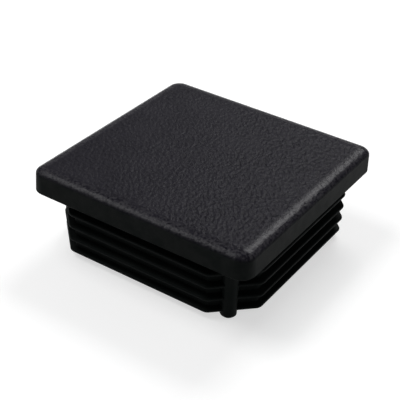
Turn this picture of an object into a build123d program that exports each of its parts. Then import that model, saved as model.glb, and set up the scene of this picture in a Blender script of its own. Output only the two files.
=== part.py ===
"""Square ribbed end cap for a 50 x 50 mm tube, moulded as one piece.

The origin is the middle of the shoulder, the flat underside of the head that stops on the end of
the tube. +Z points out of the tube: the head is above the origin and the skirt hangs below it.
All lengths are millimetres and all angles are degrees.
"""

from build123d import *

import os
from math import radians, sqrt, tan

os.makedirs("parts", exist_ok=True)

# Head: the square plate that covers the end of the tube. Its top edge is a quarter of an ellipse,
# wide across the top and shallow down the side
head_across = 50.0
head_height = 5.05
head_corner_r = 3.0
head_draft = 2.0
head_edge_in = 2.75
head_edge_down = 1.3
head_edge_clear = 1.0
shoulder_edge = 0.15

# Skirt: the hollow square wall that goes into the tube, its four corners cut off at 45 degrees
core_across = 44.8
core_corner_cut = 6.75
core_vertex_r = 0.65
skirt_depth = 12.0
wall = 1.9

# Fins: thin rows wrapped all round the skirt, the last one shorter to lead into the tube
fin_rows = 4
fin_first = 2.8
fin_last_above_rim = 0.65
fin_reach = 1.35
fin_last_reach = 1.15
fin_sink = 0.3
fin_root = 1.2
fin_tip = 0.7
fin_nose = 0.25

# Posts: two round-nosed uprights on opposite corners, where the two halves of the mould part.
# They stand a little to the -X -Y side of the corner's middle and run a little past the rim
post_width = 3.2
post_reach = 1.9
post_sink = 1.5
post_offset = 0.65
post_foot = 1.0
post_lead = 0.4

# Pocket: the hollow of the skirt, which carries on into the head
plate_thickness = 2.6
pocket_draft = 0.8
pocket_vertex_r = 0.9
pocket_root_r = 0.7

# Gate: the stub left in the middle of the pocket where the plastic was fed in
gate_d = 3.2
gate_height = 0.5
gate_draft = 5.0

head_side_z = head_height - head_edge_down
head_side_in = head_side_z * tan(radians(head_draft))
head_side_x = head_across / 2 - head_side_in
core_half = core_across / 2
cut_face = (core_across - core_corner_cut) / sqrt(2)
fin_pitch = (skirt_depth - fin_first - fin_last_above_rim) / (fin_rows - 1)
post_centre = cut_face + post_reach - post_width / 2
post_inner = cut_face - post_sink
pocket_ceiling = head_height - plate_thickness


def skirt_outline(inset, vertex_r):
    """A square with cut corners, drawn a distance inside the skirt's own, its vertices rounded."""
    with BuildSketch(mode=Mode.PRIVATE) as outline:
        Rectangle(core_across - 2 * inset, core_across - 2 * inset)
        chamfer(outline.vertices(), core_corner_cut - (2 - sqrt(2)) * inset)
        fillet(outline.vertices(), vertex_r)
    return outline.sketch


with BuildPart() as end_cap:
    # Head, wider at the shoulder by its draft
    with BuildSketch(Plane.XY):
        RectangleRounded(head_across, head_across, head_corner_r)
    extrude(amount=head_height, taper=head_draft)

    # What the elliptical top edge leaves outside it, cut away along the whole outline
    with BuildSketch(Plane.XZ):
        with BuildLine():
            edge = EllipticalCenterArc(
                (head_side_x - head_edge_in, head_side_z),
                head_edge_in,
                head_edge_down,
                arc_size=90,
            )
            Polyline(
                edge @ 1,
                (head_side_x - head_edge_in, head_height + head_edge_clear),
                (head_side_x + head_edge_clear, head_height + head_edge_clear),
                (head_side_x + head_edge_clear, head_side_z),
                edge @ 0,
            )
        make_face()
    with BuildSketch(Plane.XY, mode=Mode.PRIVATE) as head_outline:
        RectangleRounded(2 * head_side_x, 2 * head_side_x, head_corner_r - head_side_in)
    sweep(path=head_outline.sketch.wire(), mode=Mode.SUBTRACT)
    chamfer(end_cap.faces().sort_by(Axis.Z)[0].edges(), shoulder_edge)

    # Skirt, still solid
    with BuildSketch(Plane.XY):
        add(skirt_outline(0, core_vertex_r))
    extrude(amount=-skirt_depth)

    # Sections of the fins, where they cross the +X side
    with BuildSketch(Plane.XZ):
        for row in range(fin_rows):
            fin_z = -fin_first - row * fin_pitch
            if row < fin_rows - 1:
                tip_x = core_half + fin_reach
            else:
                tip_x = core_half + fin_last_reach
            with BuildLine():
                upper = Polyline(
                    (core_half - fin_sink, fin_z + fin_root / 2),
                    (core_half, fin_z + fin_root / 2),
                    (tip_x - fin_nose, fin_z + fin_tip / 2),
                )
                lower = Polyline(
                    (core_half - fin_sink, fin_z - fin_root / 2),
                    (core_half, fin_z - fin_root / 2),
                    (tip_x - fin_nose, fin_z - fin_tip / 2),
                )
                ThreePointArc(upper @ 1, (tip_x, fin_z), lower @ 1)
                Line(upper @ 0, lower @ 0)
            make_face()

    # The fins run once round the skirt
    sweep(path=skirt_outline(fin_sink, core_vertex_r - fin_sink).wire())

    # Posts, drawn with the local X axis from corner to corner
    with BuildSketch(Plane.XY.rotated((0, 0, -45))):
        for end in (1, -1):
            with Locations((end * post_centre, -post_offset)):
                Circle(post_width / 2)
            with Locations((end * (post_inner + post_centre) / 2, -post_offset)):
                Rectangle(post_centre - post_inner, post_width)
    extrude(amount=-skirt_depth - post_foot)
    chamfer(end_cap.faces().group_by(Axis.Z)[0].edges(), post_lead)

    # Pocket, cut from the rim upwards and narrowing with the draft of the core that moulds it
    with BuildSketch(Plane.XY.offset(-skirt_depth)):
        add(skirt_outline(wall, pocket_vertex_r))
    extrude(amount=skirt_depth + pocket_ceiling, taper=pocket_draft, mode=Mode.SUBTRACT)
    ceiling = end_cap.faces().filter_by(lambda f: abs(f.center().Z - pocket_ceiling) < 0.001)
    fillet(ceiling.edges(), pocket_root_r)

    # Gate stub
    with BuildSketch(Plane.XY.offset(pocket_ceiling)):
        Circle(gate_d / 2)
    extrude(amount=-gate_height, taper=gate_draft)

end_cap.part.label = "end_cap"
export_step(end_cap.part, "parts/end_cap.step")
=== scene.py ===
"""Square ribbed tube end cap, black moulded plastic: looks, light and camera."""
import math

import bpy
from mathutils import Matrix, Vector


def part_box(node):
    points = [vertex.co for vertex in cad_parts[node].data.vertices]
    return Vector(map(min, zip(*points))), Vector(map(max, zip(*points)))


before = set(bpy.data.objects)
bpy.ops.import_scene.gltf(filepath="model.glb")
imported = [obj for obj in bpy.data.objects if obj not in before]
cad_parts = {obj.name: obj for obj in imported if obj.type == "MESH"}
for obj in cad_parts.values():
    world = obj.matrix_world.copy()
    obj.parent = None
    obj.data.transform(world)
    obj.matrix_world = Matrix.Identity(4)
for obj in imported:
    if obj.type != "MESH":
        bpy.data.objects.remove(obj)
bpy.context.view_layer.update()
scene = bpy.context.scene
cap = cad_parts["end_cap"]


# ---------------------------------------------------------------- node helpers
class Tree:
    """Short calls for building one material's nodes."""

    def __init__(self, owner):
        owner.use_nodes = True
        self.tree = owner.node_tree
        self.tree.nodes.clear()

    def node(self, kind, inputs=(), **settings):
        made = self.tree.nodes.new(kind)
        for name, value in settings.items():
            setattr(made, name, value)
        for key, value in dict(inputs).items():
            self.put(made.inputs[key], value)
        return made

    def put(self, socket, value):
        if isinstance(value, bpy.types.NodeSocket):
            self.tree.links.new(value, socket)
        else:
            socket.default_value = value

    def math(self, operation, a, b=0.0, clamp=False):
        made = self.node("ShaderNodeMath", {0: a, 1: b}, operation=operation, use_clamp=clamp)
        return made.outputs[0]

    def plus(self, a, b, clamp=False):
        return self.math("ADD", a, b, clamp)

    def minus(self, a, b, clamp=False):
        return self.math("SUBTRACT", a, b, clamp)

    def times(self, a, b):
        return self.math("MULTIPLY", a, b)

    def step(self, value, start, end, low=0.0, high=1.0):
        """low up to start, high from end, smooth between."""
        made = self.node(
            "ShaderNodeMapRange",
            {"Value": value, "From Min": start, "From Max": end, "To Min": low, "To Max": high},
            interpolation_type="SMOOTHSTEP",
        )
        return made.outputs[0]

    def blend(self, factor, a, b):
        made = self.node("ShaderNodeMix", {"Factor": factor}, data_type="RGBA")
        self.put(made.inputs["A"], a)
        self.put(made.inputs["B"], b)
        return made.outputs["Result"]

    def noise(self, vector, scale, detail, rough):
        made = self.node(
            "ShaderNodeTexNoise",
            {"Vector": vector, "Scale": scale, "Detail": detail, "Roughness": rough},
        )
        return made.outputs["Fac"]


# ---------------------------------------------------------------- black plastic
# Where each change starts and ends, in millimetres: the grained top and the skirt by height, the
# rounded top edge (worn, and given a painted highlight) by distance from the middle, and the
# grain's depth and the top's painted shade along X.
MM_IN_A_METRE = 1000.0
TOP_HEIGHTS = (3.7, 4.5)
SKIRT_HEIGHTS = (-0.15, 0.15)
RIDGE_REACH = (22.0, 23.2)
DEPTH_AND_SHADE_ALONG_X = (-20.0, 22.0)

# The grain's depth, and the top's painted shade, at -X and at +X; the grain's direction, and its
# cells' width as a share of their length.
GRAIN_DEPTHS_AND_SHADE = (0.66, 1.08)
GRAIN_TURN = math.radians(-32)
GRAIN_DRAW = 0.65
PIT_SCALE = 1.45
PIT_SMOOTHNESS = 0.7

# Noises: scale in cells to a millimetre, detail and roughness.
COARSE = (1.6, 2.0, 0.5)
FINE = (4.5, 2.0, 0.5)
SKIN = (0.9, 3.0, 0.6)
MOTTLE = (0.16, 4.0, 0.6)
WEAR_AND_HIGHLIGHT_NOISE = (1.9, 2.0, 0.6)
BLOTCH = (0.24, 3.0, 0.6)
GLOSS = (0.35, 3.0, 0.6)

# What each pattern gives to the height, and how much of the grain the worn edge has lost.
PIT_SHARE = 0.6
FINE_SHARE = 0.15
SKIN_SHARE = 0.20
SKIN_FINE_SHARE = 0.04
RIDGE_LOSS = 0.66
BUMP_METRES = 0.00017

# The noise values between which each colour sets in, and the two levels of the mottling.
MOTTLE_LIMITS = (0.35, 0.68)
MOTTLE_LEVELS = (0.8, 1.6)
PROUD_LIMITS = (0.40, 0.62)
WEAR_AND_HIGHLIGHT_LIMITS = (0.38, 0.60)
BLOTCH_LIMITS = (0.38, 0.64)

# Colours, linear. The top is a slightly blue black; the sides and the skirt are greener and darker,
# which is painted shade on the one plastic.
TOP_DARK = (0.0060, 0.0053, 0.0086, 1)
TOP_LIGHT = (0.0135, 0.0124, 0.0168, 1)
TOP_PROUD = (0.0142, 0.0130, 0.0180, 1)
EDGE_WORN_AND_HIGHLIGHT = (0.0350, 0.0335, 0.0380, 1)
# Painted shade: the sides and the skirt are coloured darker than the top.
SHADED_SIDE_DARK = (0.0032, 0.0048, 0.0044, 1)
SHADED_SIDE_PALE = (0.0088, 0.0100, 0.0096, 1)
SKIRT_PAINTED_SHADE = (0.0050, 0.0068, 0.0064, 1)
SKIRT_SHADE_SHARE = 0.6

# Roughness of the top, and what the noise, the worn edge and the plain sides do to it.
TOP_ROUGHNESS = 0.36
GLOSS_SPREAD = 0.10
RIDGE_POLISH = 0.19
PLAIN_DULLING = 0.15
PLASTIC_IOR = 1.5
PLASTIC_SPECULAR = 0.04


def moulded_plastic():
    """Black polyethylene: a fine spark-eroded grain on the head, smoother on the skirt."""
    material = bpy.data.materials.new("black_plastic_moulded")
    t = Tree(material)
    place = t.node("ShaderNodeTexCoord").outputs["Object"]
    mm = t.node(
        "ShaderNodeVectorMath", {0: place, "Scale": MM_IN_A_METRE}, operation="SCALE"
    ).outputs[0]
    x, y, z = t.node("ShaderNodeSeparateXYZ", {0: mm}).outputs
    across = t.math("MAXIMUM", t.math("ABSOLUTE", x), t.math("ABSOLUTE", y))

    top = t.step(z, *TOP_HEIGHTS)
    plain = t.minus(1.0, top)
    skirt = t.step(z, *SKIRT_HEIGHTS, 1.0, 0.0)
    # The rounded top edge: from the top's flat to a little down the side.
    ridge = t.times(t.step(across, *RIDGE_REACH), top)

    # The grain is deeper towards the +X side, and the top's colour there is darker with stronger
    # contrast: painted shade.
    depth_and_shade = t.step(x, *DEPTH_AND_SHADE_ALONG_X, *GRAIN_DEPTHS_AND_SHADE)

    # Grain: rounded pits about two thirds of a millimetre apart, drawn out a little one way.
    turned = t.node("ShaderNodeMapping", {"Vector": mm, "Rotation": (0, 0, GRAIN_TURN)})
    drawn = t.node(
        "ShaderNodeMapping", {"Vector": turned.outputs[0], "Scale": (1.0, GRAIN_DRAW, 1.0)}
    ).outputs[0]
    pits = t.node(
        "ShaderNodeTexVoronoi",
        {"Vector": drawn, "Scale": PIT_SCALE, "Randomness": 1.0, "Smoothness": PIT_SMOOTHNESS},
        feature="SMOOTH_F1",
    ).outputs["Distance"]
    coarse = t.noise(drawn, *COARSE)
    fine = t.noise(drawn, *FINE)
    grain = t.plus(t.times(pits, PIT_SHARE), coarse)
    grain = t.plus(grain, t.times(fine, FINE_SHARE))
    grain = t.times(grain, t.minus(1.0, t.times(ridge, RIDGE_LOSS)))
    grain = t.times(grain, depth_and_shade)
    # The sides and the skirt have a smooth skin, only faintly uneven.
    skin = t.times(t.noise(mm, *SKIN), SKIN_SHARE)
    skin = t.plus(skin, t.times(fine, SKIN_FINE_SHARE))
    height = t.plus(t.times(grain, top), t.times(skin, plain))

    # Colour of the top: mottled, paler where the grain stands proud, and paler along the rounded
    # edge, partly edge wear and partly a painted highlight.
    light = t.step(t.noise(mm, *MOTTLE), *MOTTLE_LIMITS, *MOTTLE_LEVELS)
    # Painted shade: the mottle is taken down towards +X, so the top darkens there.
    light = t.minus(light, depth_and_shade, clamp=True)
    colour = t.blend(light, TOP_DARK, TOP_LIGHT)
    proud = t.minus(t.step(coarse, *PROUD_LIMITS), 0.5)
    proud = t.plus(t.times(proud, depth_and_shade), 0.5, clamp=True)
    colour = t.blend(proud, colour, TOP_PROUD)
    # Painted highlight, partly edge wear: a paler colour along the rounded top edge.
    worn_and_highlight = t.times(ridge, t.step(t.noise(mm, *WEAR_AND_HIGHLIGHT_NOISE), *WEAR_AND_HIGHLIGHT_LIMITS))
    colour = t.blend(worn_and_highlight, colour, EDGE_WORN_AND_HIGHLIGHT)
    # Colour below the top: blotched and darker than the top as painted shade, and the skirt under
    # the head pulled towards one darker tint, more painted shade.
    blotch = t.step(t.noise(mm, *BLOTCH), *BLOTCH_LIMITS)
    colour = t.blend(plain, colour, t.blend(blotch, SHADED_SIDE_DARK, SHADED_SIDE_PALE))
    colour = t.blend(t.times(skirt, SKIRT_SHADE_SHARE), colour, SKIRT_PAINTED_SHADE)

    rough = t.plus(TOP_ROUGHNESS, t.times(t.noise(mm, *GLOSS), GLOSS_SPREAD))
    rough = t.minus(rough, t.times(ridge, RIDGE_POLISH))
    rough = t.plus(rough, t.times(plain, PLAIN_DULLING))

    bump = t.node("ShaderNodeBump", {"Strength": 1.0, "Distance": BUMP_METRES, "Height": height})
    shader = t.node(
        "ShaderNodeBsdfPrincipled",
        {
            "Base Color": colour,
            "Roughness": rough,
            "IOR": PLASTIC_IOR,
            "Specular IOR Level": PLASTIC_SPECULAR,
            "Normal": bump.outputs[0],
        },
    )
    t.node("ShaderNodeOutputMaterial", {"Surface": shader.outputs[0]})
    return material


cap.material_slots[0].material = moulded_plastic()


# ---------------------------------------------------------------- floor and light
FLOOR_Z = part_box("end_cap")[0].z
FLOOR_SIDE = 40.0
FLOOR_COLOUR = (0.50, 0.50, 0.50, 1)
# The floor's lift to white: metres from the object between which it grows, and its two strengths.
LIFT_REACH = (0.15, 1.2)
LIFT_STRENGTHS = (0.60, 1.0)
WHITE = (1, 1, 1, 1)

SKY_COLOUR = (0.96, 0.98, 1.0, 1)
SKY_STRENGTH = 0.14

# Lamps: name, direction from the object, distance, width and height, radiance.
SOFTBOXES = (
    ("key_box", (-0.150, 0.707, 0.691), 1.0, (0.46, 0.28), 15.0),
    ("crown_box", (-0.50, -0.13, 0.857), 1.0, (0.54, 0.34), 8.4),
    ("left_box", (-0.82, -0.22, 0.53), 1.0, (0.7, 0.7), 0.6),
    ("back_box", (-0.60, 0.66, 0.45), 1.2, (1.0, 0.8), 0.3),
    ("right_box", (0.80, 0.40, 0.45), 1.0, (0.6, 0.6), 0.4),
)


def floor_material():
    """Pale paper, lifted to white where it is seen, and clear from below."""
    material = bpy.data.materials.new("pale_floor")
    t = Tree(material)
    path = t.node("ShaderNodeLightPath")
    seen = t.plus(path.outputs["Is Camera Ray"], path.outputs["Is Glossy Ray"])
    seen = t.plus(seen, path.outputs["Is Transmission Ray"], clamp=True)
    # The lamps reach less far than the floor does, so the lift grows away from the object.
    place = t.node("ShaderNodeTexCoord").outputs["Object"]
    away = t.node("ShaderNodeVectorMath", {0: place}, operation="LENGTH").outputs["Value"]
    strength = t.times(seen, t.step(away, *LIFT_REACH, *LIFT_STRENGTHS))
    paper = t.node("ShaderNodeBsdfDiffuse", {"Color": FLOOR_COLOUR})
    lift = t.node("ShaderNodeEmission", {"Color": WHITE, "Strength": strength})
    both = t.node("ShaderNodeAddShader", {0: paper.outputs[0], 1: lift.outputs[0]})
    # From below it is clear, so that the open side of the skirt can be looked at too.
    below = t.node("ShaderNodeNewGeometry").outputs["Backfacing"]
    clear = t.node("ShaderNodeBsdfTransparent")
    shown = t.node("ShaderNodeMixShader", {0: below, 1: both.outputs[0], 2: clear.outputs[0]})
    t.node("ShaderNodeOutputMaterial", {"Surface": shown.outputs[0]})
    return material


def make_floor():
    mesh = bpy.data.meshes.new("floor")
    h = FLOOR_SIDE / 2
    corners = [(-h, -h, FLOOR_Z), (h, -h, FLOOR_Z), (h, h, FLOOR_Z), (-h, h, FLOOR_Z)]
    mesh.from_pydata(corners, [], [(0, 1, 2, 3)])
    floor = bpy.data.objects.new("floor", mesh)
    scene.collection.objects.link(floor)
    mesh.materials.append(floor_material())


def make_world():
    world = bpy.data.worlds.new("studio")
    scene.world = world
    t = Tree(world)
    sky = t.node("ShaderNodeBackground", {"Color": SKY_COLOUR, "Strength": SKY_STRENGTH})
    t.node("ShaderNodeOutputWorld", {"Surface": sky.outputs[0]})


def softbox(name, towards, distance, size, radiance):
    """A rectangular area lamp in a direction from the object, facing it."""
    light = bpy.data.lights.new(name, "AREA")
    light.shape = "RECTANGLE"
    light.size, light.size_y = size
    light.energy = radiance * size[0] * size[1] * math.pi
    lamp = bpy.data.objects.new(name, light)
    direction = Vector(towards).normalized()
    lamp.location = direction * distance
    lamp.rotation_mode = "QUATERNION"
    lamp.rotation_quaternion = (-direction).to_track_quat("-Z", "Y")
    scene.collection.objects.link(lamp)


make_floor()
make_world()
for box in SOFTBOXES:
    softbox(*box)


# ---------------------------------------------------------------- camera
# Fitted to the photo: azimuth from -Y towards +X, and a roll that lifts the camera's right side.
CAMERA_AZIMUTH = math.radians(32.256)
CAMERA_ELEVATION = math.radians(33.277)
CAMERA_ROLL = math.radians(3.077)
CAMERA_DISTANCE = 0.20996
CAMERA_TARGET = Vector((0.000182, -0.002246, -0.004))
CAMERA_LENS = 93.24
CAMERA_SENSOR = 36.0
CAMERA_CLIP = (0.01, 100.0)

back = Vector(
    (
        math.sin(CAMERA_AZIMUTH) * math.cos(CAMERA_ELEVATION),
        -math.cos(CAMERA_AZIMUTH) * math.cos(CAMERA_ELEVATION),
        math.sin(CAMERA_ELEVATION),
    )
)
level = Vector((math.cos(CAMERA_AZIMUTH), math.sin(CAMERA_AZIMUTH), 0))
upright = back.cross(level)
right = level * math.cos(CAMERA_ROLL) + upright * math.sin(CAMERA_ROLL)
up = upright * math.cos(CAMERA_ROLL) - level * math.sin(CAMERA_ROLL)
camera_data = bpy.data.cameras.new("camera")
camera_data.lens = CAMERA_LENS
camera_data.sensor_width = CAMERA_SENSOR
camera_data.clip_start, camera_data.clip_end = CAMERA_CLIP
camera = bpy.data.objects.new("camera", camera_data)
turned_to_view = Matrix((right, up, back)).transposed().to_4x4()
camera.matrix_world = Matrix.Translation(CAMERA_TARGET + back * CAMERA_DISTANCE) @ turned_to_view
scene.collection.objects.link(camera)
scene.camera = camera

scene.view_settings.view_transform = "Standard"
